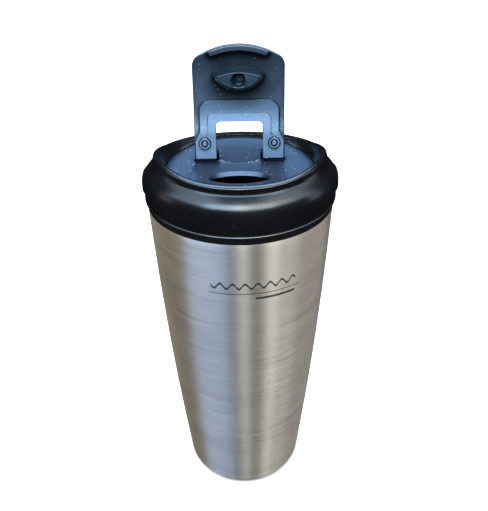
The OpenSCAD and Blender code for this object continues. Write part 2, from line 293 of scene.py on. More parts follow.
def side_pad(turn, z):
    """Height of the low grip pad moulded on each side of the skirt."""
    off_side = abs(abs(math.degrees(math.pi - abs(turn - math.pi))) - 84)
    return 0.55 * (1 - smoothstep(7.0, 8.6, off_side)) * smoothstep(171.2, 172.6, z) * (
        1 - smoothstep(179.2, 180.8, z))


def lid_section(turn):
    """Outline of the lid's shell at an angle from the front."""
    lip_y = -37 * math.cos(turn)
    top = lip_top(lip_y)
    shift = shoulder_shift(turn)
    skirt = [(42.2, LID_BOTTOM), (42.5, LID_BOTTOM + 0.12), (42.68, LID_BOTTOM + 0.5), (42.85, 170.6),
             (43.05, 171.8), (43.17, 173.2), (43.2, 174.6), (43.12, 176.0), (42.88, 177.3),
             (42.5, 178.5)]
    swept = [(41.9, 179.6), (41.15, 180.55), (40.4, 181.3), (39.75, 182.0), (39.2, 182.75),
             (38.75, 183.65), (38.45, 184.7)]
    crisp = [(41.98, 179.5), (41.25, 180.4), (40.45, 181.15), (39.65, 181.85), (38.85, 182.5),
             (38.2, 182.95), (37.85, 183.35)]
    front = smoothstep(0.35, 0.95, math.cos(turn))
    skirt += [(r0 + (r1 - r0) * front, z0 + (z1 - z0) * front) for (r0, z0), (r1, z1) in zip(swept, crisp)]
    outside = []
    for r, z in skirt:
        lifted = z + shift * smoothstep(169.5, 179.5, z)
        outside.append((r + side_pad(turn, lifted - 0.4 * shift), lifted))
    shoulder = outside[-1]
    tuck = 0.5 * max(0.0, math.cos(turn)) ** 3
    outer, inner, drop = 37.9 - tuck, 35.45 - tuck, 1.15
    outside[-1] = (shoulder[0] - 1.2 * tuck, shoulder[1])
    outside.append(((shoulder[0] + outer) / 2 - 0.25 * front - tuck / 2, (shoulder[1] + top - drop) / 2))
    for inward, below in LIP_ROUND:
        outside.append((outer - inward, top - below))
    foot = (DECK_R + 0.2, DECK_Z + 0.12)
    for t in (0.2, 0.45, 0.7, 0.9, 1.0):
        sag = 0.5 * math.sin(math.pi * t)
        outside.append((inner + (foot[0] - inner) * t ** 1.6 + sag * 0.3,
                        (top - drop) * (1 - t) + foot[1] * t))
    under = [(DECK_R + 0.15, DECK_Z - 0.1), (DECK_R + 0.15, DECK_LOW + 0.15), (36.9, DECK_LOW + 0.15),
             (37.3, 175.0), (39.8, 172.9), (41.0, 171.6), (41.25, 170.4), (41.3, LID_BOTTOM)]
    return outside + under


def lid_skirt():
    """Grip skirt, shoulder and drinking lip in one closed shell."""
    turns = 360
    verts = []
    for i in range(turns):
        turn = 2 * math.pi * i / turns
        verts += [(r * math.sin(turn), -r * math.cos(turn), z) for r, z in lid_section(turn)]
    return make_object("lid_skirt", verts, grid_faces(turns, len(lid_section(0))))


# ---------------------------------------------------------------- the flap
def on_hinge(angle):
    """Places (x, distance along the flap, distance in front of the hinge axis) for a flap that
    leans back by angle."""
    s, c = math.sin(angle), math.cos(angle)
    return lambda x, d, e: (x, HINGE_Y + d * s - e * c, HINGE_Z + d * c + e * s)


open_flap = on_hinge(FLAP_LEAN)
shut_flap = on_hinge(-(math.pi / 2 - FLAP_SLOPE))


def about_hinge(y, z, x):
    """Places a side view measured from the hinge axis: back, up, x."""
    return x, HINGE_Y + y, HINGE_Z + z


def side_view(d, e, x):
    """Places a side view: distance along the flap, distance in front, x."""
    return open_flap(x, d, e)


LEG_IN = 10.4
WINDOW_TOP = 14.6                   # top of the gap between the legs
CHEEK_X = 9.3                       # inner face of the deck's hinge cheeks
CHEEK_R = 1.75


def flap_edge():
    """Outline of the flap from its right leg, over the tip, to its left leg."""
    hw = FLAP_HW
    tip_c = FLAP_LEN - TIP_R
    cx, cd = FLAP_HW - CORNER_R, 38.2
    meet = math.degrees(math.atan2(cd - tip_c, cx))
    right = [(hw + 0.25, 0.0), (hw + 0.2, 8.0), (hw, 18.0), (hw, 30.0)]
    right += arc(cx, cd, CORNER_R, 0, meet, 7)
    tip = arc(0, tip_c, TIP_R, meet, 180 - meet, 26)[1:-1]
    left = [(-x, d) for x, d in reversed(right)]
    return right + tip + left


def gap_edge(half, top, corner, low):
    """Outline of the gap between the legs, from the left leg to the right leg."""
    left = [(-half, low)] + arc(-half + corner, top - corner, corner, 180, 90, 6)
    return left + [(-x, d) for x, d in reversed(left)]


def flap_plate():
    """Plate of the flap with two legs, knuckles and the catch along its tip."""
    outline = flap_edge() + gap_edge(LEG_IN, WINDOW_TOP, 2.2, 0.0)
    plate = prism("flap_plate", outline, PLATE_E - PLATE_T, PLATE_E, open_flap, edge=0.55)
    for side in (-1, 1):
        ends = sorted((side * LEG_IN, side * (FLAP_HW + 0.2)))
        foot = arc(FOOT_R - FOOT_END, PANEL_E - FOOT_R, FOOT_R, 90, 180, 6)
        foot += arc(0, 0, FOOT_END, 180, 270, 8)
        foot += [(3.0, -PANEL_E * 0.5), (3.0, PLATE_E - 0.03), (FOOT_R - FOOT_END, PLATE_E - 0.03)]
        carve(plate, prism("foot", foot, ends[0], ends[1], side_view, edge=0.3), "UNION")
    carve(plate, tip_catch(), "UNION")
    return even_shading(plate)


def tip_catch():
    """Raised bar along the tip's underside, which a thumb lifts."""
    tip_c = FLAP_LEN - TIP_R
    reach = math.degrees(math.asin(13.4 / 33.3))
    outer = arc(0, tip_c, 33.3, 90 - reach, 90 + reach, 20)
    inner = arc(0, tip_c, 31.0, 90 + reach - 1.5, 90 - reach + 1.5, 20)
    return prism("catch", outer + inner, PLATE_E - 0.6, PLATE_E + CATCH_H, open_flap, edge=0.45)


def bracket_plate():
    """U-shaped plate under the legs."""
    half, top, low, corner = 17.5, 24.2, FOOT_R - FOOT_END + 0.05, 5.2
    right = [(FLAP_HW - 0.1, low), (FLAP_HW - 0.1, 6.2), (FLAP_HW - 1.0, 7.6), (half, 10.5)]
    right += arc(half - corner, top - corner, corner, 0, 90, 8)
    outline = right + [(-x, d) for x, d in reversed(right)]
    outline += gap_edge(LEG_IN, WINDOW_TOP, 2.2, low)
    plate = prism("bracket_plate", outline, PLATE_E + 0.03, BAND_E, open_flap, edge=0.28)
    return even_shading(stake_holes(plate))


def stake_holes(obj):
    """Cuts a round hole about each stake, a little wider than its washer."""
    for side in (-1, 1):
        hole = arc(side * STAKE_X, STAKE_D, STAKE_HOLE, 0, 354, 59)
        carve(obj, prism("stake_hole", hole, PLATE_E - 1.0, PANEL_E + 1.0, open_flap), "DIFFERENCE")
    return obj


def bracket_band():
    """Raised, smoother band of the bracket: down both legs and round the gap."""
    half, top, low, corner = 13.9, 18.3, FOOT_R - FOOT_END + 0.1, 2.6
    right = [(FLAP_HW - 0.4, low), (FLAP_HW - 0.4, 5.8), (FLAP_HW - 1.4, 7.2), (half, 8.6)]
    right += arc(half - corner, top - corner, corner, 0, 90, 6)
    outline = right + [(-x, d) for x, d in reversed(right)]
    outline += gap_edge(LEG_IN + 0.1, WINDOW_TOP + 0.1, 2.2, low)
    band = prism("bracket_band", outline, BAND_E, PANEL_E, open_flap, edge=0.15)
    return even_shading(stake_holes(band))


def stake(side):
    """Round stake: a dished washer with a small domed pin in its middle."""
    outline = [(0, -2.7), (1.05, -2.7), (1.05, 0.1), (2.3, 0.1), (2.42, 0.22), (2.42, 0.42), (2.3, 0.56),
               (2.0, 0.62), (1.7, 0.52), (1.5, 0.2), (1.16, 0.14), (1.1, 0.45), (0.95, 0.6),
               (0.6, 0.68), (0, 0.7)]
    turns = 40
    verts = []
    for i in range(turns):
        a = 2 * math.pi * i / turns
        verts += [open_flap(side * STAKE_X + r * math.cos(a), STAKE_D + r * math.sin(a), PANEL_E + h)
                  for r, h in outline]
    name = "stake_left" if side < 0 else "stake_right"
    return make_object(name, verts, grid_faces(turns, len(outline), close_columns=False))


PLUG_MID = 34.3
PLUG_TIP = 10.2
PLUG_H = 5.6
LENS_MID = PLUG_MID - 1.4


def lens_radius(angle, front, back):
    """Distance from the lens's middle to its edge, in a direction. Both sides are arcs, each moved
    out by its own amount."""
    reach = []
    for bulge, sign, grow in ((2.3, 1, front), (5.3, -1, back)):
        r = (PLUG_TIP ** 2 + bulge ** 2) / (2 * bulge)
        centre = PLUG_MID + sign * (bulge - r) - LENS_MID
        b = centre * math.sin(angle)
        reach.append(b + math.sqrt(b * b - centre * centre + (r + grow) ** 2))
    soft = 9
    return (reach[0] ** -soft + reach[1] ** -soft) ** (-1 / soft)


def lens_ring(front, back=None, round_r=0.0, share=0.0, points=96):
    """Closed ring of (x, d) points round the lens; share moves it towards a circle."""
    back = front if back is None else back
    ring = []
    for k in range(points):
        a = 2 * math.pi * k / points
        r = lens_radius(a, front, back) * (1 - share) + round_r * share
        ring.append((r * math.cos(a), LENS_MID + r * math.sin(a)))
    return ring


def squeezed(ring, half_width, shift):
    """The ring drawn in to a half width, and moved sideways."""
    widest = max(x for x, d in ring)
    return [(x * half_width / widest + shift, d) for x, d in ring]


def rings_object(name, rings, place, points=96):
    """A closed skin over rings of (x, d) points at their depths, with a flat cap at both ends."""
    verts = [place(x, d, e) for ring, e in rings for x, d in ring]
    faces = grid_faces(len(rings), points, close_rows=False)
    last = (len(rings) - 1) * points
    faces += [tuple(range(points)), tuple(range(last + points - 1, last - 1, -1))]
    return make_object(name, verts, faces)


def sip_plug():
    """Soft lens-shaped plug: a thin flange, drafted sides, a rounded face edge and a dimple."""
    face = PLATE_E + PLUG_H
    draft = math.tan(math.radians(16))
    draft_out = PLUG_H * draft
    rings = [(lens_ring(draft_out + 0.1, draft_out - 0.5), PLATE_E + 0.04),
             (lens_ring(draft_out + 0.1, draft_out - 0.5), PLATE_E + 0.35),
             (lens_ring(draft_out - 0.05, draft_out - 0.65), PLATE_E + 0.5),
             (lens_ring(draft_out - 0.5, draft_out - 1.0), PLATE_E + 0.55)]
    for h in (1.0, 2.6, 4.2, PLUG_H - 0.6):
        grow = (PLUG_H - h) * draft - 0.4
        rings.append((squeezed(lens_ring(grow, grow * 0.4), 11.0 - 1.2 * h / PLUG_H, 0), PLATE_E + h))
    for k in range(1, 6):
        a = math.pi / 2 * k / 5
        rings.append((lens_ring(-0.22 - 0.6 * (1 - math.cos(a))), face - 0.6 + 0.6 * math.sin(a)))
    for share in (0.25, 0.5, 0.75, 1.0):
        rings.append((lens_ring(-0.82, round_r=3.3, share=share), face - 0.12 * share))
    for r, depth in ((2.95, 0.35), (2.7, 1.0), (2.3, 1.7), (1.7, 2.2), (0.9, 2.45), (0.25, 2.5)):
        rings.append((lens_ring(0, round_r=r, share=1.0), face - depth))
    return rings_object("plug_soft", rings, open_flap)


# ---------------------------------------------------------------- the lid's deck
def spout_outline():
    """Side view (y, z) of the raised spout: ramp, crease and gentle rise to the lip."""
    top = [(3.0, 180.0), (2.2, 180.1), (-14.4, 184.25), (-15.6, 184.62), (-36, 187.05)]
    return top + [(-36, DECK_LOW + 0.6), (3.0, DECK_LOW + 0.6)]


def lid_deck():
    """Disc inside the lip with the spout, drinking hole, finger hollow and hinge cheeks."""
    disc = [(0, DECK_LOW), (31.5, DECK_LOW), (31.5, 175.3), (36.5, 175.3), (36.5, DECK_LOW),
            (DECK_R, DECK_LOW), (DECK_R, DECK_Z - 0.35), (DECK_R - 0.35, DECK_Z), (0, DECK_Z)]
    deck = lathe("deck_disc", disc, turns=160)
    across = lambda y, z, x: (x, y, z)
    spout = prism("spout", spout_outline(), -20.0, 18.0, across)
    lip_space = [(0, 170), (DECK_R - 0.1, 170), (DECK_R - 0.05, DECK_Z), (35.05, 183.6), (35.2, 186.5),
                 (35.2, 195), (0, 195)]
    carve(spout, lathe("space", lip_space, turns=160), "INTERSECT")
    carve(deck, spout, "UNION")
    hollow = [(-28, 170.0), (-28, 182.2), (-15, 181.0), (-4, 176.0), (-4, 170.0)]
    carve(deck, prism("hollow", hollow, -15.5, 15.5, across), "DIFFERENCE")
    scoop = arc(0, SCOOP_Y, SCOOP_R, 180, 360, 40) + [(SCOOP_R, SCOOP_BACK), (-SCOOP_R, SCOOP_BACK)]
    tilt = math.tan(math.radians(6.3))
    carve(deck, prism("scoop", scoop, 0.0, 6.0,
                      lambda x, y, h: (x, y, DECK_Z + (y - SCOOP_BACK) * tilt + h)), "DIFFERENCE")
    for side in (-1, 1):
        ends = sorted((side * CHEEK_X, side * (LEG_IN - 0.15)))
        cheek = [(-CHEEK_R, DECK_LOW - HINGE_Z + 0.5), (CHEEK_R, DECK_LOW - HINGE_Z + 0.5)]
        cheek += arc(0, 0, CHEEK_R, 0, 180, 16)
        carve(deck, prism("cheek", cheek, ends[0], ends[1], about_hinge, edge=0.15), "UNION")
        pocket = arc(0, 0, POCKET_R, 0, 350, 35)
        pocket_ends = sorted((side * (LEG_IN - 0.15), side * (FLAP_HW + 0.7)))
        carve(deck, prism("pocket", pocket, pocket_ends[0], pocket_ends[1], about_hinge), "DIFFERENCE")
    carve(deck, rings_object("hole", hole_rings(), shut_flap), "DIFFERENCE")
    soften_corners(deck, 0.22)
    return even_shading(deck)


def hinge_pin(side):
    """Short pin from a cheek into the leg beside it."""
    ends = sorted((side * (CHEEK_X + 0.1), side * 13.4))
    name = "pin_left" if side < 0 else "pin_right"
    return prism(name, arc(0, 0, 1.0, 0, 345, 23), ends[0], ends[1], about_hinge, edge=0.15)


# Rings of the drinking hole's cutter: depth, growth of the lens in front and behind, half width
HOLE_BEVEL = [(0.5, 2.7, 9.4, 13.8), (3.1, 2.2, 6.8, 12.9)]
HOLE_EDGE = [(4.9, 1.8, 5.0, 12.5), (5.1, 1.8, 5.0, 12.5)]
HOLE_HOLLOW = [(5.6, 1.8, 6.4, 13.1), (16.0, 1.8, 6.4, 13.1)]
HOLE_SHIFT = -0.2                   # the hole's middle, to the left of the mug's


def hole_rings():
    """The drinking hole's cutter: a bevel at the back down to a thin edge, then a hollow under it."""
    return [(squeezed(lens_ring(front, back), half_width, HOLE_SHIFT), e)
            for e, front, back, half_width in HOLE_BEVEL + HOLE_EDGE + HOLE_HOLLOW]


# ---------------------------------------------------------------- materials
class Shader:
    """Short calls for building the nodes of one material, or of the world."""

    def __init__(self, owner):
        owner.use_nodes = True
        self.owner = owner
        self.tree = owner.node_tree
        self.bsdf = self.tree.nodes.get("Principled BSDF")

    @classmethod
    def named(cls, name):
        """Nodes of a new material."""
        return cls(bpy.data.materials.new(name))

    @property
    def material(self):
        return self.owner

    def add(self, kind, **settings):
        node = self.tree.nodes.new("ShaderNode" + kind)
        for key, value in settings.items():
            setattr(node, key, value)
        return node

    def link(self, source, target):
        self.tree.links.new(source, target)

    def set(self, node, **values):
        for key, value in values.items():
            node.inputs[key.replace("_", " ")].default_value = value
        return node

    def place(self, scale, tilt_deg=0):
        """Object position, tilted about the x axis and times a scale for each axis."""
        coords = self.add("TexCoord")
        mapping = self.add("Mapping")
        mapping.inputs["Scale"].default_value = scale
        mapping.inputs["Rotation"].default_value[0] = math.radians(tilt_deg)
        self.link(coords.outputs["Object"], mapping.inputs["Vector"])
        return mapping.outputs["Vector"]

    def axes(self):
        """X, Y and Z of the object's position, as three outputs."""
        split = self.add("SeparateXYZ")
        self.link(self.add("TexCoord").outputs["Object"], split.inputs["Vector"])
        return split.outputs["X"], split.outputs["Y"], split.outputs["Z"]

    def noise(self, scale, detail=4.0, roughness=0.5, spread=(1, 1, 1)):
        node = self.add("TexNoise")
        self.set(node, Scale=scale, Detail=detail, Roughness=roughness)
        self.link(self.place(spread), node.inputs["Vector"])
        return node.outputs["Fac"]

    def ranged(self, value, low, high, to_low, to_high, smooth=False):
        node = self.add("MapRange")
        node.interpolation_type = "SMOOTHSTEP" if smooth else "LINEAR"
        self.link(value, node.inputs["Value"])
        for key, number in (("From Min", low), ("From Max", high), ("To Min", to_low), ("To Max", to_high)):
            node.inputs[key].default_value = number
        return node.outputs["Result"]

    def maths(self, operation, a, b=None):
        node = self.add("Math", operation=operation)
        for socket, value in zip(node.inputs, (a, b)):
            if value is None:
                continue
            if isinstance(value, (int, float)):
                socket.default_value = value
            else:
                self.link(value, socket)
        return node.outputs["Value"]

    def mixed(self, factor, first, second):
        node = self.add("Mix", data_type="RGBA")
        for socket, value in ((node.inputs[0], factor), (node.inputs[6], first), (node.inputs[7], second)):
            if isinstance(value, bpy.types.NodeSocket):
                self.link(value, socket)
            elif isinstance(value, (int, float)):
                socket.default_value = value
            else:
                socket.default_value = (*value, 1.0)
        return node.outputs[2]

    def bump(self, height, distance_mm, strength=1.0, onto=None):
        node = self.add("Bump")
        node.inputs["Strength"].default_value = strength
        node.inputs["Distance"].default_value = distance_mm * MM
        self.link(height, node.inputs["Height"])
        if onto is not None:
            self.link(onto, node.inputs["Normal"])
        return node.outputs["Normal"]


def brushed_steel():
    """Steel brushed round the body: long fine streaks, vertical sheen, a few faint scuffs."""
    s = Shader.named("steel_brushed")
    fine = s.noise(1.0, detail=5, roughness=0.62, spread=(60, 60, 5200))
    broad = s.noise(1.0, detail=3, roughness=0.5, spread=(22, 22, 900))
    cloud = s.noise(38, detail=3)
    s.link(s.mixed(s.ranged(fine, 0.3, 0.7, 0, 1), (0.50, 0.485, 0.465), (0.66, 0.65, 0.635)),
           s.bsdf.inputs["Base Color"])
    rough = s.maths("ADD", s.ranged(broad, 0.3, 0.7, 0.42, 0.5), s.ranged(cloud, 0.35, 0.7, 0, 0.03))
    s.link(rough, s.bsdf.inputs["Roughness"])
    tangent = s.add("Tangent", direction_type="RADIAL", axis="Z")
    s.link(tangent.outputs["Tangent"], s.bsdf.inputs["Tangent"])
    s.set(s.bsdf, Metallic=1.0, Anisotropic=0.93, Anisotropic_Rotation=0.25)
    lines = s.bump(fine, 0.012, 0.35)
    s.link(s.bump(broad, 0.02, 0.25, onto=lines), s.bsdf.inputs["Normal"])
    print_mark(s)
    return s.material


def print_mark(s):
    """A plain printed mark on the front: a row of ripples over a thin rule, and a short bar."""
    x, y, z = s.axes()
    height = s.maths("DIVIDE", z, MM)
    turn = s.maths("ARCTAN2", x, s.maths("MULTIPLY", y, -1))

    def line(level, middle, half, from_deg, to_deg):
        """One where the level is near the middle and the turn lies between two angles."""
        near = s.maths("LESS_THAN", s.maths("ABSOLUTE", s.maths("SUBTRACT", level, middle)), half)
        after = s.maths("GREATER_THAN", turn, math.radians(from_deg))
        before = s.maths("LESS_THAN", turn, math.radians(to_deg))
        return s.maths("MULTIPLY", near, s.maths("MULTIPLY", after, before))

    ripple = s.maths("MULTIPLY", s.maths("SINE", s.maths("MULTIPLY", turn, 48.0)), 1.3)
    waves = s.maths("SUBTRACT", height, ripple)
    ink = line(waves, 143.6, 0.6, -19, 34)
    for row in (line(height, 139.5, 0.22, -20.5, 37.5), line(height, 136.9, 0.6, 8, 34)):
        ink = s.maths("MAXIMUM", ink, row)
    steel = s.bsdf.inputs["Base Color"].links[0].from_socket
    s.link(s.mixed(ink, steel, (0.012, 0.012, 0.015)), s.bsdf.inputs["Base Color"])
    s.link(s.maths("SUBTRACT", 1.0, ink), s.bsdf.inputs["Metallic"])


def pressed_steel(name, roughness, tone=1.0):
    """Plain steel with a fine rolled grain. A low tone makes it dark."""
    s = Shader.named(name)
    grain = s.noise(2600, detail=4)
    s.link(s.mixed(grain, (0.42 * tone, 0.41 * tone, 0.4 * tone), (0.58 * tone, 0.57 * tone, 0.56 * tone)),
           s.bsdf.inputs["Base Color"])
    s.link(s.ranged(grain, 0.3, 0.7, roughness - 0.06, roughness + 0.08), s.bsdf.inputs["Roughness"])
    s.set(s.bsdf, Metallic=1.0)
    s.link(s.bump(grain, 0.01, 0.3), s.bsdf.inputs["Normal"])
    return s.material


def under_shade(s, reach_mm, power):
    """Painted shade: a factor that falls from one towards zero under overhangs, beside steps and on
    undersides, as under light from above, for darkening a material's colour and gloss."""
    geometry = s.add("NewGeometry")
    lean = s.add("VectorMath", operation="ADD")
    lean.inputs[1].default_value = (0, -0.2, 0.9)
    s.link(geometry.outputs["Normal"], lean.inputs[0])
    upward = s.add("VectorMath", operation="NORMALIZE")
    s.link(lean.outputs["Vector"], upward.inputs[0])
    split = s.add("SeparateXYZ")
    s.link(geometry.outputs["Normal"], split.inputs["Vector"])
    light = s.ranged(split.outputs["Z"], -0.7, -0.15, 0.08, 1)
    for reach, strength in ((reach_mm, power), (reach_mm / 4, power)):
        open_sky = s.add("AmbientOcclusion", samples=8)
        open_sky.inputs["Distance"].default_value = reach * MM
        s.link(upward.outputs["Vector"], open_sky.inputs["Normal"])
        light = s.maths("MULTIPLY", light, s.maths("POWER", open_sky.outputs["AO"], strength))
    return light


def dust_specks(s, amount, upward_only):
    """Small pale specks, one in some of the cells of a cell pattern."""
    cells = s.add("TexVoronoi", voronoi_dimensions="2D")
    s.set(cells, Scale=1000.0)
    s.link(s.place((1, 1, 1), 0 if upward_only else -90), cells.inputs["Vector"])
    dots = s.ranged(cells.outputs["Distance"], 0.1, 0.3 if upward_only else 0.2, 1, 0)
    pick = s.add("SeparateColor")
    s.link(cells.outputs["Color"], pick.inputs["Color"])
    share = s.ranged(s.noise(150, detail=3, roughness=0.6), 0.42, 0.66, 0.0, 0.05)
    if upward_only:
        share = s.maths("ADD", share, s.maths("MULTIPLY", scoop_dust(s), 0.75))
    chosen = s.maths("LESS_THAN", pick.outputs["Red"], share)
    specks = s.maths("MULTIPLY", s.maths("MULTIPLY", dots, chosen), amount)
    if not upward_only:
        return specks
    geometry = s.add("NewGeometry")
    split = s.add("SeparateXYZ")
    s.link(geometry.outputs["Normal"], split.inputs["Vector"])
    return s.maths("MULTIPLY", specks, s.ranged(split.outputs["Z"], 0.3, 0.9, 0, 1))


def scoop_dust(s):
    """One along the front edge of the deck's scoop, falling to zero beside it."""
    x, y, _ = s.axes()
    along = s.maths("DIVIDE", x, MM)
    back = s.maths("DIVIDE", y, MM)
    behind = s.maths("SUBTRACT", back, SCOOP_Y)
    squares = s.maths("ADD", s.maths("MULTIPLY", along, along), s.maths("MULTIPLY", behind, behind))
    off_edge = s.maths("ABSOLUTE", s.maths("SUBTRACT", s.maths("SQRT", squares), SCOOP_R + 0.4))
    return s.maths("MULTIPLY", s.ranged(off_edge, 0.3, 2.2, 1, 0), s.ranged(back, 7, 12, 1, 0))


def by_height(s, stops):
    """A value that follows (height in mm, value) stops along the object's height."""
    _, _, height = s.axes()
    low, high = stops[0][0], stops[-1][0]
    ramp = s.add("ValToRGB")
    elements = ramp.color_ramp.elements
    while len(elements) < len(stops):
        elements.new(0.5)
    for element, (z, value) in zip(elements, stops):
        element.position = (z - low) / (high - low)
        element.color = (value, value, value, 1)
    s.link(s.ranged(height, low * MM, high * MM, 0, 1), ramp.inputs["Fac"])
    return ramp.outputs["Color"]


def black_plastic(name, colour, rough, grain_mm=0.35, grain_height=0.012, dust=0.0, dust_up=False,
                  gloss=0.5, shade=None):
    """Satin moulded plastic: fine spark grain, slow gloss changes, specks of dust if asked, and
    painted shade under overhangs, which darkens its colour and gloss, given as (reach in mm, power).
    The strength of its gloss is one number, or stops along its height, which paint its reflections
    brighter or darker by height."""
    s = Shader.named(name)
    grain = s.noise(1000 / grain_mm, detail=3, roughness=0.6)
    slow = s.noise(55, detail=4, roughness=0.6)
    tone = s.mixed(s.ranged(slow, 0.3, 0.75, 0, 1), colour, [c * 1.35 for c in colour])
    rougher = s.maths("ADD", s.ranged(slow, 0.3, 0.7, rough - 0.03, rough + 0.04),
                      s.ranged(grain, 0.3, 0.7, -0.02, 0.03))
    level = by_height(s, gloss) if isinstance(gloss, list) else gloss
    if shade is not None:
        # painted shade: the colour falls to near black and the gloss weakens where the shade factor falls
        light = under_shade(s, *shade)
        tone = s.mixed(light, (0.001, 0.001, 0.001), tone)
        s.link(s.maths("MULTIPLY", light, level), s.bsdf.inputs["Specular IOR Level"])
    else:
        s.set(s.bsdf, Specular_IOR_Level=level)
    if dust > 0:
        specks = dust_specks(s, dust, dust_up)
        tone = s.mixed(specks, tone, (0.6, 0.62, 0.66))
    s.link(tone, s.bsdf.inputs["Base Color"])
    s.link(rougher, s.bsdf.inputs["Roughness"])
    s.set(s.bsdf, IOR=1.5)
    fine = s.bump(grain, grain_height, 0.5)
    s.link(s.bump(slow, 0.08, 0.12, onto=fine), s.bsdf.inputs["Normal"])
    return s.material


def soft_rubber(name, colour, rough=0.6):
    """Matt silicone or rubber with a powdery surface."""
    s = Shader.named(name)
    grain = s.noise(3800, detail=3)
    slow = s.noise(90, detail=3)
    s.link(s.mixed(slow, colour, [c * 1.5 for c in colour]), s.bsdf.inputs["Base Color"])
    s.link(s.ranged(grain, 0.3, 0.7, rough - 0.05, rough + 0.07), s.bsdf.inputs["Roughness"])
    s.set(s.bsdf, Sheen_Weight=0.12, Sheen_Roughness=0.5)
    s.link(s.bump(grain, 0.012, 0.4), s.bsdf.inputs["Normal"])
    return s.material


def foam():
    """Closed-cell foam."""
    s = Shader.named("foam_cells")
    cells = s.add("TexVoronoi")
    s.set(cells, Scale=900.0)
    s.link(s.place((1, 1, 1)), cells.inputs["Vector"])
    s.link(s.mixed(cells.outputs["Distance"], (0.62, 0.55, 0.36), (0.8, 0.74, 0.52)),
           s.bsdf.inputs["Base Color"])
    s.set(s.bsdf, Roughness=0.9)
    s.link(s.bump(cells.outputs["Distance"], 0.2, 0.6), s.bsdf.inputs["Normal"])
    return s.material


def dress(obj, material):
    """Gives an object one material in every slot."""
    if not obj.material_slots:
        obj.data.materials.append(material)
    for slot in obj.material_slots:
        slot.material = material
    return obj


def place_piece(obj, body, node, material):
    """Puts a finished piece on its body in place of a CAD node."""
    dress(obj, material)
    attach(obj, body)
    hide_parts(node)
    return obj


# ---------------------------------------------------------------- the pieces
# Painted light and shade: gloss strength by height for the flap and bracket, strong low on the legs and
# weak over the upper flap, so their reflections are painted brighter low and darker high
PAINTED_GLOSS_BY_HEIGHT = [(180, 1.0), (195, 1.0), (203, 0.25), (220, 0.15), (224.5, 0.15), (227, 0.4), (231, 0.5)]
lid_black = black_plastic("lid_black", (0.0015, 0.0015, 0.002), 0.26, grain_height=0.02, dust=0.04)
deck_black = black_plastic("deck_black", (0.006, 0.007, 0.010), 0.34, dust=0.7, dust_up=True,
                           shade=(5, 1.5))
collar_black = black_plastic("collar_black", (0.002, 0.002, 0.0025), 0.28, gloss=0.8)
flap_black = black_plastic("flap_black", (0.004, 0.006, 0.009), 0.22, dust=0.12, gloss=PAINTED_GLOSS_BY_HEIGHT,
                           shade=(9, 5.5))
# Bracket, band and stakes: lighter, bluer and glossier copies of the flap's black plastic; the extra
# lightness and blue in their colour is painted reflection of a bright blue window
bracket_black = black_plastic("bracket_black", (0.014, 0.022, 0.033), 0.24, grain_mm=0.25,
                              grain_height=0.02, dust=0.2, gloss=PAINTED_GLOSS_BY_HEIGHT, shade=(10, 2.2))
band_black = black_plastic("band_black", (0.02, 0.03, 0.045), 0.24, grain_mm=0.25,
                           grain_height=0.015, dust=0.3, gloss=0.75, shade=(8, 1.5))
stake_black = black_plastic("stake_black", (0.02, 0.03, 0.045), 0.22, gloss=1.0, shade=(1.6, 3))
plug_black = black_plastic("plug_black", (0.002, 0.004, 0.006), 0.28, gloss=0.12, shade=(4, 1.2))

place_piece(steel_wall(), "mug", "outer_shell", brushed_steel())
place_piece(collar_ring(), "mug", "collar", collar_black)
place_piece(lid_skirt(), "lid", "lid_shell", lid_black)
place_piece(lid_deck(), "lid", "lid_deck", deck_black)
place_piece(flap_plate(), "flap", "flap_cover", flap_black)
place_piece(bracket_plate(), "flap", "hinge_bracket", bracket_black)
place_piece(bracket_band(), "flap", "hinge_bracket", band_black)
place_piece(stake(-1), "flap", "bracket_stakes", stake_black)
place_piece(stake(1), "flap", "bracket_stakes", stake_black)
pin_steel = pressed_steel("pin_steel", 0.35, 0.15)
place_piece(hinge_pin(-1), "lid", "hinge_pins", pin_steel)
place_piece(hinge_pin(1), "lid", "hinge_pins", pin_steel)
place_piece(sip_plug(), "flap", "sip_plug", plug_black)

CAD_FINISHES = {
    "base_plate": pressed_steel("base_pressed", 0.4),
    "foot_pad": soft_rubber("foot_rubber", (0.03, 0.03, 0.032), 0.8),
    "foam_insulation": foam(),
    "inner_liner": black_plastic("liner_black", (0.02, 0.02, 0.023), 0.25),
    "collar_seal": soft_rubber("seal_rubber", (0.04, 0.04, 0.045)),
    "lid_gasket": soft_rubber("gasket_rubber", (0.07, 0.075, 0.08)),
    "lid_insert": black_plastic("insert_black", (0.010, 0.010, 0.012), 0.35),
}
for node, material in CAD_FINISHES.items():
    dress(frame["nodes"][node], material)


# ---------------------------------------------------------------- stage, light and camera
def stage_floor():
    """Pale floor, which reflections see as a dim one."""
    s = Shader.named("floor_pale")
    dim = s.add("Emission")
    dim.inputs["Color"].default_value = (*DIM_FLOOR, 1)
    ray = s.add("LightPath")
    mix = s.add("MixShader")
    s.link(ray.outputs["Is Glossy Ray"], mix.inputs[0])
    s.set(s.bsdf, Base_Color=(0.86, 0.86, 0.86, 1), Roughness=0.9, IOR=1.0)
    s.link(s.bsdf.outputs["BSDF"], mix.inputs[1])
    s.link(dim.outputs["Emission"], mix.inputs[2])
    s.link(mix.outputs["Shader"], s.tree.nodes["Material Output"].inputs["Surface"])
    size = 8.0
    mesh = bpy.data.meshes.new("floor")
    mesh.from_pydata([(-size, -size, 0), (size, -size, 0), (size, size, 0), (-size, size, 0)], [],
                     [(0, 1, 2, 3)])
    floor = bpy.data.objects.new("floor", mesh)
    bpy.context.scene.collection.objects.link(floor)
    dress(floor, s.material)
    floor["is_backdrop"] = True
    return floor


